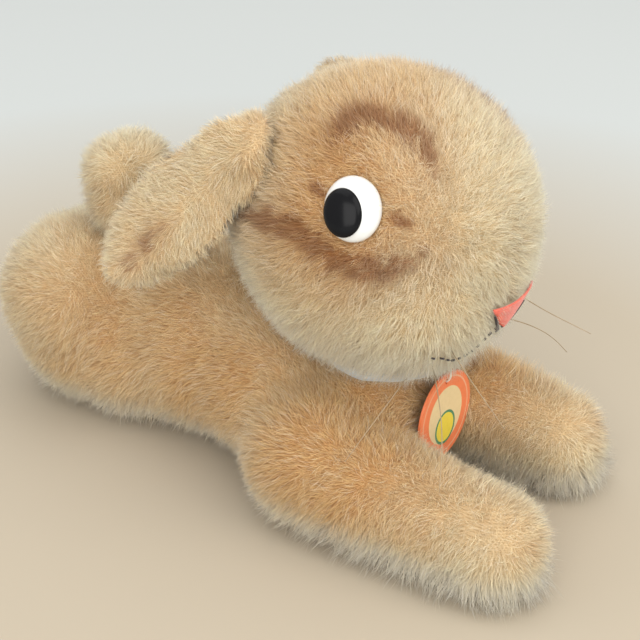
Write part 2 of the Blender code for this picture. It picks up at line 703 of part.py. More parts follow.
def make_ears(head):
    half = SEAM_GAP / 2
    for name, side in SIDES:
        hinge = empty(f"ear_{name}_hinge", ear_place(EAR_ROOT, side), head)
        cover = ear_layer(side, half, half + EAR_LAYER)
        finish(f"ear_{name}_outer", cover, "mohair", MOHAIR, hinge)
        lining = ear_layer(side, -half - EAR_LAYER, -half)
        finish(f"ear_{name}_lining", lining, "mohair_pale", MOHAIR_PALE, hinge)


def make_tail(torso):
    """An upright stub on the rump with a rounded foot, so that it can nod, and its own stuffing."""
    nod = TAIL_FOOT + TAIL_FOOT_RADIUS
    top = TAIL_FOOT + TAIL_HEIGHT
    hinge = empty("tail_hinge", (0.0, TAIL_Y, nod), torso)
    foot = ((0.0, TAIL_Y, nod), (TAIL_FOOT_RADIUS, TAIL_FOOT_RADIUS, TAIL_FOOT_RADIUS))
    head = ((0.0, TAIL_Y + 1.0, top - TAIL_RADIUS), (TAIL_RADIUS, TAIL_RADIUS, TAIL_RADIUS))
    blobs = chain(foot, head, 4)
    outer = organic(blobs, 0.0, TAIL_FACES[0])
    inner = organic(blobs, -WALL, TAIL_FACES[1])
    mouth = cylinder((0.0, TAIL_Y), 3.5, TAIL_FOOT - 5.0, TAIL_FOOT + 8.0, 12)
    cover = boolean(outer, "DIFFERENCE", inner, mouth)
    finish("tail_cover", cover, "mohair", MOHAIR, hinge)
    finish("tail_stuffing", shrunk(inner, STUFFING_GAP), "wood_wool", WOOD_WOOL, hinge)


def upright_disc(place, radius, thickness, sides):
    """A disc that stands on its edge and faces forward."""
    bm = bmesh.new()
    matrix = Matrix.Translation(Vector(place) * MM) @ Matrix.Rotation(math.pi / 2, 4, "X")
    bmesh.ops.create_cone(
        bm, cap_ends=True, segments=sides, radius1=radius * MM, radius2=radius * MM,
        depth=thickness * MM, matrix=matrix,
    )
    return mesh_of(bm)


def make_tag(torso):
    """The round card that hangs at the chest on a loop of thread from the ribbon."""
    hinge_y = HEAD_CENTRE.y - TAG_FRONT
    hinge = empty("tag_hinge", (0.0, hinge_y, TAG_TOP), torso)
    front = hinge_y - TAG_STAND
    card = upright_disc((0.0, front, TAG_TOP - 1.5 - TAG_RADIUS), TAG_RADIUS, TAG_THICKNESS, 40)
    card = boolean(card, "DIFFERENCE", upright_disc((0.0, front, TAG_TOP - 4.2), TAG_HOLE, 4.0, 12))
    finish("tag_card", card, "card", CARD, hinge)
    loop = []
    for step in range(11):
        angle = 2 * math.pi * step / 12 + math.pi / 12
        across, up = THREAD_LOOP[0] * math.sin(angle), THREAD_LOOP[1] * math.cos(angle)
        loop.append((0.0, front + across, TAG_TOP - 1.4 + up))
    tube("tag_thread", loop, THREAD_RADIUS, "thread", THREAD, hinge, 1)


def main():
    clear_scene()
    torso = empty("torso", (0.0, 0.0, 0.0))
    head = empty("head", HEAD_CENTRE, torso)
    make_body(torso)
    make_ribbon(torso)
    make_tail(torso)
    make_tag(torso)
    make_neck(torso, head)
    skin = make_head(head)
    make_eyes(head, skin)
    make_face(head, skin)
    make_ears(head)
    head.rotation_euler.z = math.radians(HEAD_TURN)
    bpy.context.view_layer.update()


main()
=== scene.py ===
"""A lying plush rabbit in short mohair: cloth skins under a standing pile, button eyes and a stitched face.

Lengths are in metres unless a line says mm. The nose points to -y and z is up."""

import itertools
import math

import bmesh
import bpy
import numpy as np
from mathutils import Matrix, Vector
from mathutils.bvhtree import BVHTree
from mathutils.kdtree import KDTree


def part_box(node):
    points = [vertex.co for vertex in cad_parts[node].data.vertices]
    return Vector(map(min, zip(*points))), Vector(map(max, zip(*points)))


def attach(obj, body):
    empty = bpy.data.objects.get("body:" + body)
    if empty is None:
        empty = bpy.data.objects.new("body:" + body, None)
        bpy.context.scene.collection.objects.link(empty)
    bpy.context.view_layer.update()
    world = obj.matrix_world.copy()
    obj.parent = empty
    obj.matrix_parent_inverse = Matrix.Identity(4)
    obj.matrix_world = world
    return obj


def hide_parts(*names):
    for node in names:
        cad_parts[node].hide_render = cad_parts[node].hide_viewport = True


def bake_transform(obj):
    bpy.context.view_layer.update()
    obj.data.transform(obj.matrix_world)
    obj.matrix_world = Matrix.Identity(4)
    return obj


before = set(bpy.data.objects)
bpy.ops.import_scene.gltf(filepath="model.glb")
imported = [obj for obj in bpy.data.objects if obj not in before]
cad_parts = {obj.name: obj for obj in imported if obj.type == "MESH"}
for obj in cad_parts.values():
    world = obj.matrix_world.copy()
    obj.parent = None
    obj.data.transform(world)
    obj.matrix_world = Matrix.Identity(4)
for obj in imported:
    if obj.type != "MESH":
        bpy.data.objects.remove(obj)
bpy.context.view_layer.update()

MM = 0.001
HEAD = np.array((0.0, -0.055, 0.088))       # middle of the head
HEAD_TURN = math.radians(6.0)               # the head looks a little to its left
TURN_COS, TURN_SIN = math.cos(HEAD_TURN), math.sin(HEAD_TURN)
FLOOR_GAP = 0.0003                          # least height of the pile over the floor
FLOOR_SPARE = 0.0001                        # and how much higher each fibre's middle line stays

HEAD_NODES = ("head_panel_right", "head_panel_left", "head_gusset", "head_stuffing")
LEG_NODES = [f"leg_{side}_{part}" for side in ("right", "left")
             for part in ("outer_panel", "inner_panel", "stuffing")]
BODY_NODES = ["body_panel_right", "body_panel_left", "belly_panel", "body_stuffing", *LEG_NODES]
TAIL_NODES = ("tail_cover", "tail_stuffing")

# Fullness behind the head and in the tail: a middle, and three half axes in mm.
NAPE = ((0.003, 0.012, 0.045), *np.diag((25.0, 26.0, 15.5)))
TAIL_STUB = (((0.0, 0.0455, 0.071), *np.diag((14.6, 12.2, 15.0))),
             ((0.0, 0.0465, 0.0795), *np.diag((15.4, 12.4, 11.0))))
TAIL_BEND = ("torso", "tail", (0.0, 0.045, 0.062), (0.0, 0.045, 0.076))

EAR_ROOT = np.array((30.6, 31.0, 29.0))     # mm from the head's middle, left ear, head straight
EAR_TIP = np.array((44.5, 66.5, -16.5))
EAR_SEAT = 48.5                             # mm from the head's middle to the thick root of the ear
EAR_BEND = (-6.0, 12.0)                     # mm along the ear, the two points given with the ear's bend
PART_LINE = 4.5                             # mm, the pile parts this far below the ear's middle line

EYE_SHARE = 0.94                            # how much of the button shows above the pile
EYE_DROP = 0.0014
EYE_CLEAR = 0.0078                          # radius of the skin without pile under a button
MOUTH_CLEAR = 0.9                           # mm without pile either side of the mouth's line
NOSE_WIDEN = 1.7                            # the stitched nose against its CAD node
NOSE_DROP = 1.6                             # mm
NOSE_SHIFT = -4.0                           # mm, the nose is sewn a little to the right
NOSE_ROWS = 14
STITCH_LIFT = 4.1                           # mm from the head's cloth to the small mouth stitches

# The pile's two layers: fibres per square mm, length against the coat's own, how far fibres stray, width
# in mm, fibres in one lock, how far a lock draws together, and how pale the palest tips are.
LAYERS = {"under": {"density": 4.6, "reach": 0.84, "bent": False, "wild": 0.30, "width": 0.085,
                    "pitch": 40, "pull": 0.5, "pale": 0.15},
          "guard": {"density": 1.7, "reach": 1.12, "bent": True, "wild": 0.45, "width": 0.066,
                    "pitch": 14, "pull": 0.6, "pale": 0.8}}
MOST_TRIANGLES = 195000                     # in one piece of pile
SOFTNESS = 1.4                              # how far the fibres share the cloth's own shading
FIBRE_DEPTH = 0.4                           # mm, how far under the cloth a fibre starts
BODY_COMB = np.array((0.0, 0.75, -0.65))
LEG_COMB = np.array((0.0, -0.2, -0.95))
TAIL_COMB = np.array((0.0, 0.2, -0.6))

# Colours are linear.
CREAM_ROOT = np.array((0.720, 0.510, 0.260))
CREAM_TIP = np.array((0.950, 0.850, 0.605))
TAN_ROOT = np.array((0.520, 0.245, 0.080))
TAN_TIP = np.array((0.870, 0.580, 0.250))
SILVER_TIP = np.array((0.960, 0.910, 0.770))
MARK_RED = np.array((0.240, 0.074, 0.010))
BLACK, WHITE = (0.0, 0.0, 0.0), (1.0, 1.0, 1.0)
FLECK = ((0.86, 0.85, 0.83), WHITE)         # shades of a fine change of colour

# Airbrushed marks on the right of the head, in mm from its middle, head straight.
BROW = ((-30.5, 4.8, 33.4), (-26.6, 3.8, 36.7), (-23.3, 1.4, 39.1), (-21.0, -2.2, 40.3),
        (-19.7, -6.4, 40.5), (-19.4, -11.2, 39.6), (-19.8, -15.4, 38.0), (-20.4, -19.0, 36.0),
        (-21.6, -22.4, 33.2), (-23.7, -26.2, 28.7))
CHEEK_LINE = ((-33.1, 30.4, 7.2), (-37.8, 23.7, 9.0), (-40.8, 17.7, 9.6), (-42.7, 12.3, 9.9),
              (-43.8, 7.7, 9.7), (-44.6, 4.6, 7.6), (-45.2, 0.3, 5.1), (-45.2, -3.7, 3.6),
              (-44.8, -7.7, 2.8), (-43.8, -12.1, 1.9), (-42.5, -16.3, 1.4), (-41.0, -19.7, 2.2),
              (-39.3, -22.7, 3.2), (-37.2, -25.8, 5.0), (-34.9, -28.4, 6.9))
EYE_CORNERS = (((-38.0, 5.0, 21.8), (-38.9, 1.6, 20.8)), ((-36.2, -19.4, 17.0), (-34.6, -23.2, 15.2)))
MOUTH = ((-10.1, -37.2, -24.2), (-12.0, -35.0, -26.5), (-14.7, -33.2, -27.4), (-17.8, -31.7, -27.4),
         (-21.1, -30.3, -26.6), (-24.5, -29.0, -25.1), (-27.6, -27.5, -23.4), (-29.7, -26.4, -22.2))
MARK_RADIUS = 45.0                          # mm, where the marks' widths are measured
FAR_MARK_DROP = 3.5                         # mm, how much lower the left side's marks lie
MARK_WIDTH = 3.9                            # mm
MOST_MARK = 0.88

# Places of soft spots of colour, wear and painted shade, in mm and mirrored to the other side.
EYE_PAINTED_SHADE = (38.0, -8.0, 16.0)                # painted shade round the eye, from the head's middle, head straight
PAW_STAIN = (34.0, -112.0, 20.0)
PAW_WEAR = (36.0, -113.0, 22.0)

CAMERA_PLACE = (-0.33263, -0.27195, 0.25674)
CAMERA_AIM = (-0.02267, -0.04675, 0.06152)
CAMERA_LENS = 84.656
LIGHT_AIM = (0.0, 0.0, 0.05)
LIGHTS = (("key", (0.05, -0.95, 0.95), 7.0, (1.0, 0.985, 0.955)),
          ("over", (0.05, 0.20, 1.05), 3.5, (0.97, 0.985, 1.0)),
          ("fill", (-0.95, -0.60, 0.60), 10.5, (1.0, 0.985, 0.96)))
WORLD_COLOUR, WORLD_STRENGTH = (0.89, 0.885, 0.865), 0.85
FLOOR_SIZE = 12.0
FLOOR_STOPS = ((0.0, (0.86, 0.88, 0.88)), (0.62, (0.60, 0.625, 0.615)), (0.83, (0.56, 0.585, 0.575)),
               (0.92, (0.47, 0.405, 0.31)))


# ---------------------------------------------------------------- small maths

def unit(vectors):
    return vectors / np.maximum(np.linalg.norm(vectors, axis=-1, keepdims=True), 1e-12)


def smooth(low, high, value):
    share = np.clip((value - low) / (high - low), 0.0, 1.0)
    return share * share * (3 - 2 * share)


def mixed(first, second, share):
    share = np.asarray(share)[..., None]
    return first * (1 - share) + second * share


def noise(points, scale, seed):
    """Smooth noise between -1 and 1 at each point."""
    table = np.random.default_rng(seed).uniform(-1, 1, (16, 16, 16))
    place = points / scale
    cell = np.floor(place).astype(int)
    part = place - cell
    part = part * part * (3 - 2 * part)
    total = np.zeros(len(points))
    for corner in itertools.product((0, 1), repeat=3):
        weight = np.prod(np.where(corner, part, 1 - part), axis=1)
        total += weight * table[tuple(((cell + corner) % 16).T)]
    return total


def swirl(points, scale, seed):
    return np.stack([noise(points, scale, seed + axis) for axis in range(3)], axis=1)


def line_distance(points, line):
    """Distance from each point to a line of points, and the share of the way along it."""
    line = np.array(line)
    nearest, along = np.full(len(points), np.inf), np.zeros(len(points))
    for index, (start, end) in enumerate(zip(line[:-1], line[1:])):
        run = end - start
        part = np.clip((points - start) @ run / (run @ run), 0, 1)
        distance = np.linalg.norm(points - start - part[:, None] * run, axis=1)
        closer = distance < nearest
        nearest[closer] = distance[closer]
        along[closer] = (index + part[closer]) / (len(line) - 1)
    return nearest, along

def in_head(points):
    """Points in mm from the head's middle, with the head straight."""
    x, y, z = ((points - HEAD) / MM).T
    return np.stack((x * TURN_COS + y * TURN_SIN, -x * TURN_SIN + y * TURN_COS, z), axis=1)


def from_head(points):
    """The way back from in_head."""
    x, y, z = np.atleast_2d(points).T
    return np.stack((x * TURN_COS - y * TURN_SIN, x * TURN_SIN + y * TURN_COS, z), axis=1) * MM + HEAD


def bell(distance, width):
    return np.exp(-(distance / width) ** 2)


def near(points, middle, width):
    """1 at a middle and at its mirror image, falling off over a width."""
    x, y, z = points.T
    return bell(np.linalg.norm(np.stack((np.abs(x), y, z), axis=1) - middle, axis=1), width)


def on_ball(points):
    """The same directions from the head's middle, at the radius where marks are measured."""
    return unit(np.array(points)) * MARK_RADIUS


def resampled(line, count):
    """Evenly counted points along a line of points."""
    steps = np.linspace(0, len(line) - 1, count)
    return np.stack([np.interp(steps, range(len(line)), line[:, axis]) for axis in range(3)], axis=1)


# ---------------------------------------------------------------- meshes

def link(name, data):
    piece = bpy.data.objects.new(name, data)
    bpy.context.scene.collection.objects.link(piece)
    return piece


def new_mesh(name, bm, outward=True):
    """A mesh from a bmesh, which is freed. outward turns the faces of closed shells to the outside."""
    if outward:
        bmesh.ops.recalc_face_normals(bm, faces=bm.faces[:])
    mesh = bpy.data.meshes.new(name)
    bm.to_mesh(mesh)
    bm.free()
    return mesh


def joined(meshes):
    bm = bmesh.new()
    for mesh in meshes:
        bm.from_mesh(mesh)
    return new_mesh("joined", bm, outward=False)


def bridge(bm, rings):
    """Faces between each closed ring of corners and the next."""
    for before, after in zip(rings[:-1], rings[1:]):
        for k in range(len(before)):
            following = (k + 1) % len(before)
            bm.faces.new((before[k], before[following], after[following], after[k]))


def worked(mesh, *steps):
    """The mesh after a row of modifiers, each a type and its settings."""
    helper = link("helper", mesh)
    for kind, settings in steps:
        modifier = helper.modifiers.new(kind, kind)
        for key, value in settings.items():
            setattr(modifier, key, value)
    graph = bpy.context.evaluated_depsgraph_get()
    made = bpy.data.meshes.new_from_object(helper.evaluated_get(graph))
    bpy.data.objects.remove(helper)
    return made


def largest_shell(mesh):
    bm = bmesh.new()
    bm.from_mesh(mesh)
    left, shells = set(bm.verts), []
    while left:
        edge, shell = [left.pop()], []
        while edge:
            vert = edge.pop()
            shell.append(vert)
            for other in (e.other_vert(vert) for e in vert.link_edges):
                if other in left:
                    left.discard(other)
                    edge.append(other)
        shells.append(shell)
    shells.sort(key=len)
    bmesh.ops.delete(bm, geom=[v for shell in shells[:-1] for v in shell], context="VERTS")
    bm.to_mesh(mesh)
    bm.free()
    return mesh


def remeshed(mesh, voxel, passes=0):
    steps = [("REMESH", {"mode": "VOXEL", "voxel_size": voxel})]
    if passes:
        steps.append(("SMOOTH", {"factor": 0.5, "iterations": passes}))
    return worked(mesh, *steps)


def pushed(mesh, distance):
    """Moves a mesh's points along their normals, by one distance or by one for each point."""
    points, normals, _ = arrays(mesh)
    points = points + normals * np.broadcast_to(distance, (len(points),))[:, None]
    mesh.vertices.foreach_set("co", points.ravel())
    mesh.update()
    return mesh


def skin_of(names, voxel, inset, passes=4, fill=0.0, extra=()):
    """The outside of some CAD nodes as one smooth cloth, set in from the pile's surface.

    fill closes creases up to that far across, and extra holds meshes to join in first."""
    mesh = joined([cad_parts[name].data for name in names] + list(extra))
    mesh = largest_shell(remeshed(mesh, voxel))
    mesh = worked(mesh, ("SMOOTH", {"factor": 0.5, "iterations": passes}))
    if fill:
        mesh = remeshed(pushed(mesh, fill), voxel * 1.5, passes)
        mesh = remeshed(pushed(mesh, -fill), voxel * 1.2, passes)
    distance = inset(arrays(mesh)[0] / MM) if callable(inset) else inset
    return largest_shell(remeshed(pushed(mesh, -distance), voxel, passes))


def tubes(name, paths, radii, sides=6):
    """Closed round threads along rows of points, each tapered from one radius to another."""
    bm = bmesh.new()
    guide = np.array((0.31, 0.17, 0.93))     # a way that no thread runs
    for path in paths:
        path = np.array(path, float)
        course = unit(np.gradient(path, axis=0))
        last = len(path) - 1
        rings = []
        for number, (point, way) in enumerate(zip(path, course)):
            side = unit(np.cross(way, guide))
            third = np.cross(way, side)
            radius = radii[0] + (radii[1] - radii[0]) * number / last
            rings.append([bm.verts.new(point + radius * (math.cos(angle) * side + math.sin(angle) * third))
                          for angle in np.arange(sides) * 2 * math.pi / sides])
        bridge(bm, rings)
        bm.faces.new(rings[0][::-1])
        bm.faces.new(rings[-1])
    mesh = new_mesh(name, bm)
    mesh.shade_smooth()
    return link(name, mesh)


def ellipsoids(*swells):
    """One mesh of ellipsoids, each given by its middle in metres and three half axes in mm."""
    bm = bmesh.new()
    for middle, *axes in swells:
        matrix = Matrix(np.stack(axes, axis=1).tolist()).to_4x4()
        matrix.translation = Vector(middle)
        made = bmesh.ops.create_uvsphere(bm, u_segments=24, v_segments=16, radius=MM)
        bmesh.ops.transform(bm, matrix=matrix, verts=made["verts"])
    return new_mesh("swells", bm)


def arrays(mesh):
    """Points, normals and triangles of a mesh."""
    mesh.calc_loop_triangles()
    points = np.empty(len(mesh.vertices) * 3)
    mesh.vertices.foreach_get("co", points)
    normals = np.empty(len(mesh.vertices) * 3, np.float32)
    mesh.vertex_normals.foreach_get("vector", normals)
    triangles = np.empty(len(mesh.loop_triangles) * 3, np.int32)
    mesh.loop_triangles.foreach_get("vertices", triangles)
    return points.reshape(-1, 3), normals.reshape(-1, 3).astype(float), triangles.reshape(-1, 3)


def scatter(skin, density, rng, share=None):
    """Evenly spread points on a skin, with the normals there.

    density is per square mm, and share says how many of them are kept at each place."""
    points, normals, triangles = arrays(skin)
    a, b, c = (points[triangles[:, k]] for k in range(3))
    middle = (a + b + c) / 3
    order = np.lexsort((middle // 0.004).T)      # neighbours together, whatever the mesh's order
    triangles, a, b, c = triangles[order], a[order], b[order], c[order]
    area = np.linalg.norm(np.cross(b - a, c - a), axis=1) / 2
    total = np.cumsum(area)
    count = int(total[-1] * 1e6 * density)
    picks = np.searchsorted(total, (np.arange(count) + rng.random(count)) / count * total[-1])
    picks = np.minimum(picks, len(triangles) - 1)
    u, v = rng.random(count), rng.random(count)
    over = u + v > 1
    u[over], v[over] = 1 - u[over], 1 - v[over]
    weights = np.stack((1 - u - v, u, v), axis=1)
    place = np.einsum("nk,nkd->nd", weights, points[triangles[picks]])
    normal = unit(np.einsum("nk,nkd->nd", weights, normals[triangles[picks]]))
    if share is not None:
        kept = rng.random(count) < share(place, normal)
        place, normal = place[kept], normal[kept]
    return place, normal


# ---------------------------------------------------------------- materials

def new_material(name, colour, roughness, **sockets):
    material = bpy.data.materials.new(name)
    material.use_nodes = True
    shader = material.node_tree.nodes["Principled BSDF"]
    shader.inputs["Base Color"].default_value = (*colour, 1.0)
    shader.inputs["Roughness"].default_value = roughness
    for key, value in sockets.items():
        shader.inputs[key.replace("_", " ")].default_value = value
    return material, material.node_tree, shader


def add_node(tree, kind, **settings):
    made = tree.nodes.new(kind)
    for key, value in settings.items():
        if hasattr(made, key):
            setattr(made, key, value)
        else:
            made.inputs[key.replace("_", " ")].default_value = value
    return made


def object_place(tree):
    """The object's own coordinates, from one node in each material."""
    place = tree.nodes.get("Texture Coordinate") or tree.nodes.new("ShaderNodeTexCoord")
    return place.outputs["Object"]


def noise_node(tree, scale, detail=3.0):
    grain = add_node(tree, "ShaderNodeTexNoise", Scale=scale, Detail=detail)
    tree.links.new(object_place(tree), grain.inputs["Vector"])
    return grain.outputs["Fac"]


def spot_node(tree, centre, radius):
    """1 at centre, falling to 0 at radius."""
    span = tree.nodes.new("ShaderNodeMapping")
    span.inputs["Scale"].default_value = (1 / radius,) * 3
    span.inputs["Location"].default_value = tuple(-c / radius for c in centre)
    ball = add_node(tree, "ShaderNodeTexGradient", gradient_type="SPHERICAL")
    tree.links.new(object_place(tree), span.inputs["Vector"])
    tree.links.new(span.outputs["Vector"], ball.inputs["Vector"])
    return ball.outputs["Fac"]


def ramp_node(tree, value, *stops, interpolation="CONSTANT"):
    """A scale of colours. Each stop is a place and a colour."""
    ramp = tree.nodes.new("ShaderNodeValToRGB")
    ramp.color_ramp.interpolation = interpolation
    while len(ramp.color_ramp.elements) < len(stops):
        ramp.color_ramp.elements.new(1.0)
    for element, (place, colour) in zip(ramp.color_ramp.elements, stops):
        element.position = place
        element.color = (*colour, 1.0)
    tree.links.new(value, ramp.inputs["Fac"])
    return ramp.outputs["Color"]


def mix_node(tree, blend, factor, first, second):
    """Mixes two colours. Each may be a socket or three numbers, and factor a socket or a number."""
    made = tree.nodes.new("ShaderNodeMix")
    made.data_type = "RGBA"
    made.blend_type = blend
    sockets = (made.inputs["Factor"], made.inputs[6], made.inputs[7])
    for socket, value in zip(sockets, (factor, first, second)):
        if isinstance(value, bpy.types.NodeSocket):
            tree.links.new(value, socket)
        elif isinstance(value, (int, float)):
            socket.default_value = value
        else:
            socket.default_value = (*value, 1.0)
    return made.outputs[2]


def bump(tree, shader, height, strength, distance):
    made = add_node(tree, "ShaderNodeBump", Strength=strength, Distance=distance)
    tree.links.new(height, made.inputs["Height"])
    tree.links.new(made.outputs["Normal"], shader.inputs["Normal"])


def darkened(tree, shader, colour, shade):
    """Sets the shader's colour to one colour times another."""
    tree.links.new(mix_node(tree, "MULTIPLY", 1.0, colour, shade), shader.inputs["Base Color"])


def varied(name, colour, roughness, scale, spread, bump_height=0.0, **sockets):
    """A finish whose colour changes a little from place to place, with a fine bump.

    scale is the changes' fineness and spread their strength."""
    material, tree, shader = new_material(name, colour, roughness, **sockets)
    darker = tuple(c * (1 - spread) for c in colour)
    paler = tuple(min(c * (1 + spread), 1.0) for c in colour)
    blend = mix_node(tree, "MIX", noise_node(tree, scale), darker, paler)
    tree.links.new(blend, shader.inputs["Base Color"])
    if bump_height:
        bump(tree, shader, noise_node(tree, scale * 2.5), 0.5, bump_height)
    return material


def tint_socket(tree):
    """The colour that each fibre or point of cloth carries."""
    return add_node(tree, "ShaderNodeAttribute", attribute_name="Tint").outputs["Color"]


def pile_material():
    """Mohair fibres, with a fine change of colour along each."""
    material, tree, shader = new_material("mohair_pile", TAN_TIP, 0.62, Sheen_Weight=0.25,
                                          Sheen_Roughness=0.5)
    shade = mix_node(tree, "MIX", noise_node(tree, 900.0, 2.0), *FLECK)
    darkened(tree, shader, tint_socket(tree), shade)
    return material


def cloth_material():
    """The woven ground of the mohair, which shows where the pile is thin."""
    material, tree, shader = new_material("woven_ground", TAN_ROOT, 0.85, Sheen_Weight=0.2)
    weave = add_node(tree, "ShaderNodeMath", operation="MAXIMUM")
    for number, direction in enumerate(("X", "Z")):
        wave = add_node(tree, "ShaderNodeTexWave", bands_direction=direction, Scale=520.0, Distortion=1.5)
        tree.links.new(object_place(tree), wave.inputs["Vector"])
        tree.links.new(wave.outputs["Fac"], weave.inputs[number])
    shade = mix_node(tree, "MIX", weave.outputs[0], (0.72, 0.66, 0.58), WHITE)
    darkened(tree, shader, tint_socket(tree), shade)
    bump(tree, shader, weave.outputs[0], 0.6, 0.0002)
    return material


# ---------------------------------------------------------------- the pile's colours
# Each gives how cream every point is, and how strongly it is marked, both from 0 to 1.

def mark_strength(points):
    """How strongly the airbrush has coloured each point of the head."""
    local = in_head(points)
    local[:, 2] += FAR_MARK_DROP * (local[:, 0] > 0)
    local[:, 0] = -np.abs(local[:, 0])
    local = on_ball(local)
    patchy = 0.72 + 0.75 * noise(points, 0.0016, 31) + 0.35 * noise(points, 0.005, 32)
    strength = np.zeros(len(points))
    for line, power in ((BROW, 1.75), (CHEEK_LINE, 1.95)):
        distance, along = line_distance(local, on_ball(line))
        ends = smooth(0.0, 0.16, along) * smooth(0.0, 0.22, 1 - along)
        spread = bell(distance, MARK_WIDTH * (0.7 + 0.3 * ends))
        halo = 0.24 * bell(distance, 3.2 * MARK_WIDTH)
        strength = np.maximum(strength, power * spread * (0.5 + 0.5 * ends) * patchy)
        strength = np.maximum(strength, halo)
    for corner in EYE_CORNERS:
        distance, _ = line_distance(local, on_ball(corner))
        strength = np.maximum(strength, 1.8 * bell(distance, 1.5) * patchy)
    return np.clip(strength, 0, MOST_MARK)


def head_colours(points, normals):
    """Cream on the muzzle, under the chin and at the back, and painted shade round the eyes, which makes
    them less cream.
    """
    local = in_head(points)
    front = smooth(5.0, -34.0, local[:, 1])
    low = smooth(12.0, -22.0, local[:, 2])
    back = smooth(8.0, 34.0, local[:, 1])
    cream = np.clip(0.25 + 0.75 * front + 0.45 * low, 0, 1)
    # Painted shade: less cream in a soft spot round each eye button.
    cream = cream - 0.55 * near(local, EYE_PAINTED_SHADE, 19) + 0.32 * back + 0.18 * noise(points, 0.013, 5)
    return np.clip(cream, 0, 1), mark_strength(points)


def body_colours(points, normals):
    """Cream on the legs, the underside and the rump, paler on the upward-facing top as painted light, tan
    on the shoulders, stained paws.
    """
    local = points / MM
    _, y, z = local.T
    forward = smooth(-68.0, -108.0, y)
    low = smooth(20.0, 4.0, z)
    back = smooth(20.0, 75.0, y) * 0.35
    # Painted light: the high back is paler where it faces up.
    top = smooth(0.2, 0.9, normals[:, 2]) * smooth(35.0, 52.0, z) * 0.25
    cream = 0.12 + 0.58 * forward + 0.5 * low + back + top + 0.2 * noise(points, 0.016, 6)
    shoulder = bell(y + 62, 16) * smooth(10.0, 25.0, z)
    stain = 0.45 * near(local, PAW_STAIN, 7) * np.clip(0.3 + 1.4 * noise(points, 0.0026, 21), 0, 1)
    return np.clip(cream - 0.35 * shoulder, 0, 1), stain


def tail_colours(points, normals):
    """Paler towards the top."""
    cream = 0.62 + 0.38 * smooth(72, 92, points[:, 2] / MM) + 0.2 * noise(points, 0.008, 8)
    return np.clip(cream, 0, 1), np.zeros(len(points))


# ---------------------------------------------------------------- growing the pile

def clumped(tips, roots, pitch, pull, rng):
    """Draws the tips of neighbouring fibres together into small locks."""
    leaders = rng.choice(len(roots), max(int(len(roots) / pitch), 1), replace=False)
    tree = KDTree(len(leaders))
    for number, leader in enumerate(leaders):
        tree.insert(roots[leader], number)
    tree.balance()
    nearest = np.array([tree.find(root)[1] for root in roots])
    goal = tips[leaders[nearest]]
    return tips + (goal - tips) * pull[:, None]


def fibre_form(bent):
    """One closed fibre, a three-sided spike or one with a bend halfway.

    Gives the number of its points, its faces and the faces' places on a flat sheet."""
    rings = 2 if bent else 1
    tip = 3 * rings
    faces, sheet = [], []
    left, right, heights = 0.05, 0.95, ((0.05, 0.5) if bent else (0.05,))
    for corner in range(3):
        after = (corner + 1) % 3
        if bent:
            faces.append((corner, after, 3 + after, 3 + corner))
            sheet += [(left, heights[0]), (right, heights[0]), (right, heights[1]), (left, heights[1])]
        faces.append((tip - 3 + corner, tip - 3 + after, tip))
        sheet += [(left, heights[-1]), (right, heights[-1]), (0.5, right)]
    faces.append((2, 1, 0))
    sheet += [(left, 0.0), (0.5, left), (right, 0.0)]
    return tip + 1, faces, np.array(sheet)


def strand_mesh(name, bent, root, middle, tip, width, normal, low_tint, high_tint):
    """Closed, tapered, three-sided fibres as one mesh."""
    count = len(root)
    size, faces, corners = fibre_form(bent)
    lower, upper = unit(middle - root), unit(tip - middle)
    rng = np.random.default_rng(91)
    side = unit(np.cross(lower, unit(rng.normal(size=(count, 3)))))
    points, shading = np.empty((count, size, 3)), np.empty((count, size, 3))
    tint = np.ones((count, size, 4))
    rings = [(root, lower, width, low_tint)]
    if bent:
        rings.append((middle, unit(lower + upper), 0.8 * width, 0.4 * low_tint + 0.6 * high_tint))
    for ring, (centre, course, radius, colour) in enumerate(rings):
        third = unit(np.cross(course, side))
        for corner in range(3):
            angle = 2 * math.pi * corner / 3
            out = math.cos(angle) * side + math.sin(angle) * third
            points[:, 3 * ring + corner] = centre + out * radius[:, None]
            shading[:, 3 * ring + corner] = unit(normal * SOFTNESS + out)
            tint[:, 3 * ring + corner, :3] = colour
    points[:, -1] = tip
    shading[:, -1] = normal
    tint[:, -1, :3] = high_tint
    points[:, :, 2] = np.maximum(points[:, :, 2], FLOOR_GAP)
    flat = np.array([vertex for face in faces for vertex in face])
    starts = np.cumsum([0] + [len(face) for face in faces])[:-1]
    loops = (flat[None, :] + size * np.arange(count)[:, None]).ravel()
    first = (starts[None, :] + len(flat) * np.arange(count)[:, None]).ravel()
    mesh = bpy.data.meshes.new(name)
    mesh.vertices.add(size * count)
    mesh.vertices.foreach_set("co", points.ravel())
    mesh.loops.add(len(loops))
    mesh.loops.foreach_set("vertex_index", loops.astype(np.int32))
    mesh.polygons.add(len(first))
    mesh.polygons.foreach_set("loop_start", first.astype(np.int32))
    mesh.update(calc_edges=True)
    mesh.color_attributes.new("Tint", "FLOAT_COLOR", "POINT").data.foreach_set("color", tint.ravel())
    columns = math.ceil(math.sqrt(count))
    cell = np.stack((np.arange(count) % columns, np.arange(count) // columns), axis=1)
    sheet = (cell[:, None, :] + corners[None]) / columns
    mesh.uv_layers.new(name="OFBake").data.foreach_set("uv", sheet.ravel())
    mesh.shade_smooth()
    mesh.normals_split_custom_set_from_vertices(shading.reshape(-1, 3).tolist())
    return mesh


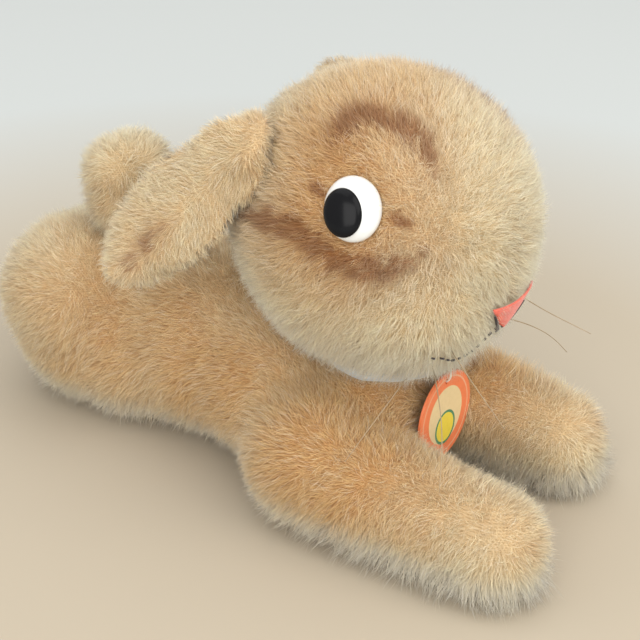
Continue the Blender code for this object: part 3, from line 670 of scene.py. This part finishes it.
def fibre_lines(root, normal, comb, longer, length, lean, form, seed, rng):
    """Start, middle and tip of each fibre: combed, strayed, and drawn into locks."""
    count = len(root)
    broad, fine = swirl(root, 0.008, seed + 40), swirl(root, 0.0032, seed + 50)
    course = comb(root) + 1.0 * broad + 0.8 * fine
    course = unit(course - (course * normal).sum(1, keepdims=True) * normal)
    stray = rng.normal(size=(count, 3)) * form["wild"]
    slant = lean * (0.6 + 0.8 * rng.random(count)) * (1 + 0.6 * noise(root, 0.006, seed + 70))
    reach = length * MM * (0.74 + 0.36 * rng.random(count)) * (1 + 0.10 * noise(root, 0.007, seed + 60))
    slant, reach = slant[:, None], (reach * longer)[:, None]
    start = root - normal * FIBRE_DEPTH * MM
    lower = unit(normal + course * slant * 0.7 + stray * 0.6)
    upper = unit(normal + course * slant * 1.7 + stray)
    middle = start + lower * reach * 0.5
    tip = middle + upper * reach * 0.5
    pull = form["pull"] * (0.3 + 0.7 * rng.random(count))
    tip = clumped(tip, root, form["pitch"], pull, rng)
    middle = 0.6 * middle + 0.4 * (start + tip) / 2 + normal * reach * 0.03
    for points in (middle, tip):
        points[:, 2] = np.maximum(points[:, 2], FLOOR_GAP + FLOOR_SPARE)
    return start, middle, tip


def fibre_tints(root, cream, mark, silver, pale, seed, rng):
    """Colours of each fibre's foot and tip."""
    count = len(root)
    bright = 1 + 0.13 * rng.normal(size=count) + 0.08 * noise(root, 0.004, seed + 80)
    low, high = mixed(TAN_ROOT, CREAM_ROOT, cream), mixed(TAN_TIP, CREAM_TIP, cream)
    high = mixed(high, SILVER_TIP, np.clip(silver + pale * rng.random(count) ** 2, 0, 1))
    low = mixed(low, high * 0.85, silver * 0.8)
    low = mixed(low, MARK_RED, mark * 0.9)
    high = mixed(high, MARK_RED, mark * (0.8 + 0.2 * rng.random(count)))
    return [np.clip(tint * bright[:, None], 0.01, 0.97) for tint in (low, high)]


def grow(name, skin, form, density, length, comb, colours, seed, lean, share, fringe):
    """One layer of pile over a skin, in several pieces. length is in mm."""
    rng = np.random.default_rng(seed)
    root, normal = scatter(skin, density, rng, share)
    count = len(root)
    longer, silver = fringe(root, normal) if fringe else (1.0, np.zeros(count))
    start, middle, tip = fibre_lines(root, normal, comb, longer, length, lean, form, seed, rng)
    cream, mark = colours(0.25 * root + 0.75 * tip, normal)
    low, high = fibre_tints(root, cream, mark, silver, form["pale"], seed, rng)
    thick = form["width"] * MM * (0.8 + 0.4 * rng.random(count))
    order = np.lexsort((root[:, 0] // 0.003, root[:, 2] // 0.003, root[:, 1] // 0.006))
    most = MOST_TRIANGLES // (10 if form["bent"] else 4)     # by the triangles of one fibre
    pieces = []
    for number, group in enumerate(np.array_split(order, math.ceil(count / most)), start=1):
        parts = (array[group] for array in (start, middle, tip, thick, normal, low, high))
        piece = link(f"{name}_{number}", strand_mesh(f"{name}_{number}", form["bent"], *parts))
        piece.data.materials.append(pile)
        pieces.append(piece)
    return pieces


def coat(name, skin, length, comb, colours, seed, body, density=1.0, lean=0.3, share=None, fringe=None):
    """The mohair over a skin: a dense short layer and longer fibres that stand out of it.

    length is in mm, density is against the layers' own, and lean is how far the pile lies over. comb
    gives the way it lies, share where it grows, and fringe where it is longer and paler."""
    pieces = []
    for number, (layer, form) in enumerate(LAYERS.items()):
        pieces += grow(f"{name}_{layer}", skin, form, form["density"] * density, length * form["reach"],
                       comb, colours, seed + number, lean, share, fringe)
    for piece in pieces:
        ride_along(piece, body)


def ride_along(piece, body):
    """Rides the piece on a body; given a bend between two bodies instead, it bakes the piece's transform
    into its mesh.
    """
    if isinstance(body, str):
        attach(piece, body)
    else:
        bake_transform(piece)


def skin_piece(name, mesh, colours):
    """The woven ground under the pile, tinted like the pile and darkened as painted shade deep in the pile.
    """
    points, normals, _ = arrays(mesh)
    cream, mark = colours(points, normals)
    tint = np.ones((len(points), 4))
    # Painted shade: mostly the root colour and then darkened, so gaps between fibres read as depth.
    low = mixed(TAN_ROOT, CREAM_ROOT, cream) * 0.6 + mixed(TAN_TIP, CREAM_TIP, cream) * 0.4
    tint[:, :3] = mixed(low * 0.8, MARK_RED, mark * 0.8)
    mesh.color_attributes.new("Tint", "FLOAT_COLOR", "POINT").data.foreach_set("color", tint.ravel())
    mesh.materials.clear()
    mesh.materials.append(ground)
    mesh.shade_smooth()
    piece = link(name, mesh)
    return piece


pile, ground = pile_material(), cloth_material()


# ---------------------------------------------------------------- head, body and tail

def body_inset(points):
    """How far the cloth lies under the CAD surface: least over the rump, under the thickest pile."""
    _, y, z = points.T
    rump = smooth(30.0, 58.0, y) * smooth(22.0, 42.0, z)
    return (2.7 - 4.2 * rump) * MM


def comb_head(root):
    """Swept back from the nose, and down over the cheeks."""
    away = root - from_head((0.0, -46.0, -6.0))
    away[:, 2] -= 0.012 * smooth(20.0, -25.0, in_head(root)[:, 2])
    return unit(away)


def comb_torso(root):
    """Down and back over the body, straight down over the front legs."""
    return mixed(BODY_COMB, LEG_COMB, smooth(-60.0, -85.0, root[:, 1] / MM))


def comb_tail(root):
    return TAIL_COMB


def body_fringe(root, normal):
    """Longer, whiter pile round the underside."""
    _, y, z = (root / MM).T
    edge = smooth(15.0, 5.0, z) * smooth(-0.97, -0.6, normal[:, 2])
    forward = smooth(-45.0, -75.0, y)
    longer = 1 + edge * (0.60 + 0.75 * forward)
    under = smooth(-0.75, -1.0, normal[:, 2]) * smooth(6.0, 3.0, z)
    return longer * (1 - 0.3 * under), np.clip(edge * (0.8 + 0.5 * forward), 0, 1)


def head_fringe(root, normal):
    """Longer, whiter pile under the jaw, and longer still under the chin."""
    local = in_head(root)
    low = smooth(-16.0, -36.0, local[:, 2])
    chin = low * smooth(4.0, -16.0, local[:, 1])
    return 1 + 0.40 * low + 0.45 * chin, 0.45 * low


def body_share(root, normal):
    """Thin on the flat belly, and worn on the front paws."""
    local = root / MM
    under = smooth(-0.8, -0.98, normal[:, 2]) * smooth(7.0, 4.0, local[:, 2])
    return np.clip(1 - 0.65 * under - 0.6 * near(local, PAW_WEAR, 6), 0, 1)


def eye_free(root, normal):
    """No pile grows under the eye buttons, the nose or the mouth."""
    keep = np.ones(len(root))
    for side in ("right", "left"):
        middle = frame_of(f"eye_{side}_white")[0]
        keep[np.linalg.norm(root - middle, axis=1) < EYE_CLEAR] = 0.0
    local = in_head(root)
    local[:, 0] = -np.abs(local[:, 0])
    keep[line_distance(on_ball(local), on_ball(MOUTH))[0] < MOUTH_CLEAR] = 0.0
    low, high = nose_reach
    above, below = local[:, ::2] > low[::2] - 0.6, local[:, ::2] < high[::2] + 0.4
    muzzle = local[:, 1] < -25
    keep[np.all(above & below, axis=1) & muzzle] = 0.0
    return keep


def frame_of(node):
    """Middle, outward axis, long axis and short axis of a flat CAD node, with its three half sizes."""
    points = arrays(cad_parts[node].data)[0]
    centre = points.mean(0)
    _, _, axes = np.linalg.svd(points - centre, full_matrices=False)
    out = axes[2] * np.sign(axes[2] @ (centre - HEAD))
    long = axes[0] * np.sign(axes[0][2] or 1.0)
    axes = np.stack((np.cross(long, out), long, out))
    local = (points - centre) @ axes.T
    low, high = local.min(0), local.max(0)
    return centre + (low + high) / 2 @ axes, out, long, axes[0], (high - low) / 2


nose_points = in_head(arrays(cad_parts["nose_embroidery"].data)[0])
nose_reach = nose_points.min(0), nose_points.max(0)

head_skin_mesh = skin_of(HEAD_NODES, voxel=0.0016, inset=0.0021)
head_skin = skin_piece("head_cloth", head_skin_mesh, head_colours)
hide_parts(*HEAD_NODES)
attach(head_skin, "head")
coat("head_pile", head_skin_mesh, 6.0, comb_head, head_colours, seed=11, body="head", share=eye_free,
     fringe=head_fringe)

body_skin_mesh = skin_of(BODY_NODES, voxel=0.0016, inset=body_inset, fill=0.0085,
                         extra=[ellipsoids(NAPE)])
body_skin = skin_piece("body_cloth", body_skin_mesh, body_colours)
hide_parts(*BODY_NODES)
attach(body_skin, "torso")
coat("body_pile", body_skin_mesh, 5.8, comb_torso, body_colours, seed=13, body="torso", density=0.8,
     share=body_share, fringe=body_fringe)

tail_skin_mesh = skin_of(TAIL_NODES, voxel=0.0012, inset=0.0010, extra=[ellipsoids(*TAIL_STUB)])
tail_skin = skin_piece("tail_cloth", tail_skin_mesh, tail_colours)
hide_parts(*TAIL_NODES)
ride_along(tail_skin, TAIL_BEND)
coat("tail_pile", tail_skin_mesh, 5.6, comb_tail, tail_colours, seed=15, body=TAIL_BEND, density=0.9)


# ---------------------------------------------------------------- ears

def ear_frame(sign):
    """Root of an ear, the way along it, across it downwards, and out of it."""
    flip = np.array((sign, 1.0, 1.0))
    root, tip = from_head(EAR_ROOT * flip)[0], from_head(EAR_TIP * flip)[0]
    along = unit(tip - root)
    out = np.array((sign, 0.0, 0.0))
    out = unit(out - (out @ along) * along)
    across = np.cross(along, out)
    return root, along, across * -np.sign(across[2]), out


def ear_swells(root, along, across, out):
    """The thick sewn root of the ear, which sits on the head, and the fullness of its lower edge."""
    radial = unit(root - HEAD)
    side = unit(np.cross(along, radial))
    seat = HEAD + radial * EAR_SEAT * MM
    return ellipsoids(
        (seat + along * 2.0 * MM, side * 10.5, unit(np.cross(radial, side)) * 10.5, radial * 4.8),
        (root + (along * 8.0 + across * 3.5) * MM, across * 12.5, along * 14.0, out * 3.6),
        (root + (along * 27.0 + across * 4.5) * MM, across * 12.0, along * 22.0, out * 3.2))


def make_ear(side, sign):
    """One ear's cloth and pile."""
    root_place, along, across, out = ear_frame(sign)

    def on_ear(points):
        """How far along the ear points are, and how far below its parting, in mm."""
        local = (points - root_place) / MM
        return local @ along, local @ across - PART_LINE

    def comb_ear(root):
        off = on_ear(root)[1]
        return along * 0.55 + across * np.clip(off / 1.5, -1, 1)[:, None] * 0.9

    def ear_colours(points, normals):
        run, off = on_ear(points)
        cream = 0.62 + 0.22 * noise(points, 0.009, 7) - 0.05 * smooth(12.0, 0.0, run)
        streak = 0.75 * bell(off + 2.5, 3.5) * smooth(26.0, 44.0, run) * smooth(60.0, 52.0, run)
        streak = streak * (0.5 + 1.1 * noise(points, 0.0022, 9))
        return np.clip(cream, 0, 1), np.clip(streak, 0, 1)

    nodes = (f"ear_{side}_outer", f"ear_{side}_lining")
    mesh = skin_of(nodes, voxel=0.0009, inset=0.0012, passes=3,
                   extra=[ear_swells(root_place, along, across, out)])
    ear = skin_piece(f"ear_{side}_cloth", mesh, ear_colours)
    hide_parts(*nodes)
    bend = ("head", f"ear_{side}", *(tuple(root_place + along * run * MM) for run in EAR_BEND))
    ride_along(ear, bend)
    coat(f"ear_{side}_pile", mesh, 4.6, comb_ear, ear_colours, seed=17, body=bend, lean=0.75)


make_ear("right", -1.0)
make_ear("left", 1.0)


# ---------------------------------------------------------------- eyes

def dome(name, middle, out, long, short, half, rise, seat):
    """A smooth button: a dome with a rounded rim over a flat back.

    half holds the half sizes across, rise is the dome's height and seat the rim's."""
    rings, spokes = 14, 64
    angles = [math.pi / 2 * k / rings for k in range(1, rings + 1)]
    profile = [(math.sin(angle), math.cos(angle) * rise) for angle in angles]
    profile += [(1.0, -0.5 * seat), (0.97, -0.85 * seat), (0.9, -seat)]
    bm = bmesh.new()
    top = bm.verts.new((0.0, 0.0, rise))
    grid = [[bm.verts.new((half[0] * radius * math.cos(2 * math.pi * k / spokes),
                           half[1] * radius * math.sin(2 * math.pi * k / spokes), height))
             for k in range(spokes)] for radius, height in profile]
    for k in range(spokes):
        bm.faces.new((top, grid[0][k], grid[0][(k + 1) % spokes]))
    bridge(bm, grid)
    bm.faces.new(grid[-1][::-1])
    matrix = Matrix((short, long, out)).transposed().to_4x4()
    matrix.translation = middle
    bm.transform(matrix)
    mesh = new_mesh(name, bm)
    mesh.shade_smooth()
    return link(name, mesh)


def finished(piece, material, slot, body, *nodes):
    """Gives a piece its finish and the body it rides on, and hides the CAD nodes it stands for. slot is not
    used.
    """
    piece.data.materials.append(material)
    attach(piece, body)
    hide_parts(*nodes)


white = varied("eye_white", (0.72, 0.72, 0.70), 0.28, 60.0, 0.03)
black = varied("eye_black", (0.006, 0.006, 0.007), 0.20, 90.0, 0.25, Specular_IOR_Level=0.13)

for side in ("right", "left"):
    _, out, long, short, _ = frame_of(f"eye_{side}_white")
    for part, material, slot, rise_share, seat_share in (("white", white, "white_plastic", 0.86, 0.14),
                                                         ("pupil", black, "black_plastic", 0.95, 0.05)):
        node = f"eye_{side}_{part}"
        middle, *_, half = frame_of(node)
        rise, seat = half[2] * 2 * rise_share, half[2] * 2 * seat_share
        base = middle - out * half[2] + out * seat - long * EYE_DROP
        button = dome(f"{node}_button", base, out, long, short, half * EYE_SHARE, rise, seat)
        finished(button, material, slot, "head", node)


# ---------------------------------------------------------------- stitched nose and mouth

head_tree = BVHTree.FromPolygons(*[part.tolist() for part in arrays(head_skin_mesh)[::2]])


def on_head(points, lift):
    """Places over the head's cloth, lift mm out, in the direction of each point of the straight head."""
    placed = []
    for way in unit(from_head(points) - HEAD):
        hit = head_tree.ray_cast(Vector(HEAD + way * 0.09), Vector(-way))[0]
        placed.append(np.array(hit) + way * lift * MM)
    return np.array(placed)


def nose_paths():
    """Satin stitches side by side across the nose, from its wide top to its point."""
    low, high = nose_reach
    rng = np.random.default_rng(5)
    half, depth, count = (high[0] - low[0]) / 2 * NOSE_WIDEN, low[1] - 0.2, 9
    paths = []
    for share in (row / (NOSE_ROWS - 1) for row in range(NOSE_ROWS)):
        height = high[2] - (high[2] - low[2]) * share - NOSE_DROP
        reach = half * (1 - share) ** 0.8 + 0.35
        across = np.linspace(-reach, reach, count)
        slope = rng.uniform(-0.45, 0.45)
        line = (across + NOSE_SHIFT, np.full(count, depth), height + slope * across / half)
        line = np.stack(line, axis=1)
        crown = 1 - (across / (reach + 0.3)) ** 2
        paths.append(on_head(line, 3.8) + unit(on_head(line, 4.0) - HEAD) * (crown * 0.9 * MM)[:, None])
    return paths


def mouth_paths():
    """Black stitches: a few under the nose, most on its right, and small ones along the mouth."""
    low, high = nose_reach
    rng = np.random.default_rng(6)
    paths = []
    for sign, numbers in ((-1, range(5)), (1, range(3, 5))):
        for number in numbers:
            top = (sign * (high[0] * NOSE_WIDEN * 0.98 - number * 0.7) + NOSE_SHIFT,
                   low[1], high[2] - 3.6 - number)
            end = (sign * (1.6 + rng.uniform(-0.5, 0.5)) + NOSE_SHIFT,
                   low[1] + 1.5, low[2] - 2.4 - number * 0.2)
            paths.append(on_head(np.linspace(top, end, 6), 4.5))
        drop = [(0.0, low[1] + 2.0, low[2] - 1.0), (sign * 4.0, -41.5, -21.0), (sign * 7.5, -39.5, -22.8)]
        line = resampled(np.array(drop + [(-sign * x, y, z) for x, y, z in MOUTH]), 60)
        for start in range(0, 56, 4):
            shift = rng.uniform(-0.35, 0.35, 3)
            paths.append(on_head(line[start:start + 3] + shift, STITCH_LIFT))
    return paths


coral = varied("coral_floss", (0.72, 0.12, 0.07), 0.45, 450.0, 0.40, 0.0001, Sheen_Weight=0.4)
ink = varied("black_floss", (0.022, 0.014, 0.012), 0.5, 700.0, 0.4, 0.0001, Sheen_Weight=0.2)
finished(tubes("nose_stitches", nose_paths(), (0.00048, 0.00040)), coral, "coral_floss", "head",
         "nose_embroidery")
finished(tubes("mouth_stitches", mouth_paths(), (0.00035, 0.00030)), ink, "black_floss", "head",
         "mouth_embroidery")


# ---------------------------------------------------------------- whiskers, ribbon and tag

def middle_line(node, start, slices=7, count=24):
    """Points along the middle of a thin CAD node, from the end nearest to start."""
    points = arrays(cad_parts[node].data)[0]
    centre = points.mean(0)
    way = np.linalg.svd(points - centre, full_matrices=False)[2][0]
    share = (points - centre) @ way
    ends = [np.linalg.norm(centre + way * reach - start) for reach in (share.min(), share.max())]
    if ends[1] < ends[0]:
        share = -share
    edges = np.linspace(share.min(), share.max() + 1e-9, slices + 1)
    inside = [(share >= low) & (share <= high) for low, high in zip(edges[:-1], edges[1:])]
    line = [points[part].mean(0) for part in inside if np.any(part)]
    line = [points[share < edges[1]].mean(0), *line[1:-1], points[share > edges[-2]].mean(0)]
    return resampled(np.array(line), count)


nylon = varied("whisker_nylon", (0.34, 0.25, 0.15), 0.35, 300.0, 0.25)
for side, sign in (("right", -1.0), ("left", 1.0)):
    for number, curl in ((1, 1.0), (2, 3.2), (3, -2.0)):
        node = f"whisker_{side}_{number}"
        line = middle_line(node, HEAD)
        share = np.linspace(0, 1, len(line))[:, None]
        bow = np.array((sign * 0.4, -0.8, 0.3)) * curl * MM * np.sin(math.pi * share)
        line = line + bow - np.array((0.0, 0.0, 1.6 * MM)) * share ** 2
        root = unit(line[0] - HEAD) * 2.5 * MM
        line = np.vstack((line[:1] - root, line))
        finished(tubes(f"{node}_hair", [line], (0.00020, 0.00010), 8), nylon, "nylon", "head", node)


def ribbon_mesh():
    """A narrow satin band round the neck, a little wavy."""
    low, high = (np.array(corner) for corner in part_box("neck_ribbon"))
    centre, radius = (low + high) / 2, (high[0] - low[0]) / 2 - 0.0006
    bottom, top = low[2] + 0.0014, high[2] - 0.0008
    # Across the band: mm outward, and the share of the way up it.
    profile = [(0.0, 0.0), (0.35, -0.02), (0.55, 0.5), (0.35, 1.02), (0.0, 1.0), (-0.15, 0.5)]
    spokes, grid = 120, []
    bm = bmesh.new()
    for angle in (2 * math.pi * k / spokes for k in range(spokes)):
        wave = 0.00025 * math.sin(5 * angle + 1.0) + 0.00015 * math.sin(11 * angle)
        grid.append([bm.verts.new((centre[0] + (radius + out * MM + wave) * math.cos(angle),
                                   centre[1] + (radius + out * MM + wave) * math.sin(angle),
                                   bottom + (top - bottom) * up + wave * 1.5)) for out, up in profile])
    bridge(bm, grid + grid[:1])
    mesh = new_mesh("neck_band", bm)
    mesh.shade_smooth()
    return mesh


satin = varied("satin_ribbon", (0.60, 0.69, 0.78), 0.33, 800.0, 0.12, 0.0001, Sheen_Weight=0.5,
               Anisotropic=0.5)
finished(link("neck_band", ribbon_mesh()), satin, "satin", "torso", "neck_ribbon")


def card_material():
    """Printed card: a coral rim with a fine line, a cream middle, and a yellow spot ringed in green."""
    low, high = (np.array(corner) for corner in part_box("tag_card"))
    centre, radius = (low + high) / 2, (high[2] - low[2]) / 2
    coral_ink, cream_ink = (0.86, 0.22, 0.085), (0.80, 0.62, 0.34)
    green_ink, yellow_ink = (0.07, 0.25, 0.13), (0.84, 0.66, 0.07)
    spot, spot_radius = centre + np.array((0.0, 0.0, -0.0042)), 0.0056
    material, tree, shader = new_material("printed_card", cream_ink, 0.45, Coat_Weight=0.15)
    # Stops run from the rim, at 0, to the middle.
    rings = ramp_node(tree, spot_node(tree, centre, radius), (0.0, coral_ink), (0.10, (0.84, 0.42, 0.25)),
                      (0.14, coral_ink), (0.34, cream_ink))
    within = spot_node(tree, spot, spot_radius)
    inside = ramp_node(tree, within, (0.0, BLACK), (0.01, WHITE))
    spot_colour = ramp_node(tree, within, (0.0, green_ink), (0.16, yellow_ink))
    fleck = noise_node(tree, 900.0)
    darkened(tree, shader, mix_node(tree, "MIX", inside, rings, spot_colour),
             mix_node(tree, "MIX", fleck, *FLECK))
    bump(tree, shader, fleck, 0.3, 0.00008)
    return material


def dress(material, *nodes):
    """Gives CAD nodes a finish."""
    for node in nodes:
        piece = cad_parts[node]
        piece.data.materials.clear()
        piece.data.materials.append(material)


dress(card_material(), "tag_card")
dress(varied("cotton_thread", (0.78, 0.72, 0.60), 0.8, 900.0, 0.25, 0.0001, Sheen_Weight=0.3), "tag_thread")
dress(varied("fibreboard", (0.26, 0.17, 0.10), 0.75, 300.0, 0.3, 0.0002), "neck_disc_lower",
      "neck_disc_upper")
dress(varied("steel_wire", (0.52, 0.52, 0.53), 0.35, 500.0, 0.12, Metallic=1.0), "neck_washer_lower",
      "neck_washer_upper", "neck_split_pin", "eye_right_shank", "eye_left_shank")


# ---------------------------------------------------------------- stage, light and camera

def aimed(name, data, place, aim):
    """A lamp or camera at a place, turned to what it looks at."""
    thing = link(name, data)
    thing.location = place
    thing.rotation_euler = (Vector(aim) - Vector(place)).to_track_quat("-Z", "Y").to_euler()
    return thing


def floor_material():
    """Pale paper, warm under the toy and cooler further off."""
    material, tree, shader = new_material("floor_paper", (0.60, 0.53, 0.42), 0.8)
    ramp = ramp_node(tree, spot_node(tree, (0.0, 0.0, 0.0), 2.0), *FLOOR_STOPS, interpolation="LINEAR")
    tree.links.new(ramp, shader.inputs["Base Color"])
    return material


bm = bmesh.new()
bmesh.ops.create_grid(bm, x_segments=1, y_segments=1, size=FLOOR_SIZE)
floor = link("floor", new_mesh("floor", bm, outward=False))
floor.data.materials.append(floor_material())

for name, place, power, colour in LIGHTS:
    lamp = bpy.data.lights.new(name, "AREA")
    lamp.size, lamp.energy, lamp.color = 1.0, power, colour
    aimed(name, lamp, place, LIGHT_AIM)

world = bpy.data.worlds.new("studio")
world.use_nodes = True
backdrop = world.node_tree.nodes["Background"]
backdrop.inputs["Color"].default_value = (*WORLD_COLOUR, 1.0)
backdrop.inputs["Strength"].default_value = WORLD_STRENGTH
bpy.context.scene.world = world
bpy.context.scene.view_settings.view_transform = "Standard"

camera_data = bpy.data.cameras.new("camera")
camera_data.lens = CAMERA_LENS
bpy.context.scene.camera = aimed("camera", camera_data, CAMERA_PLACE, CAMERA_AIM)
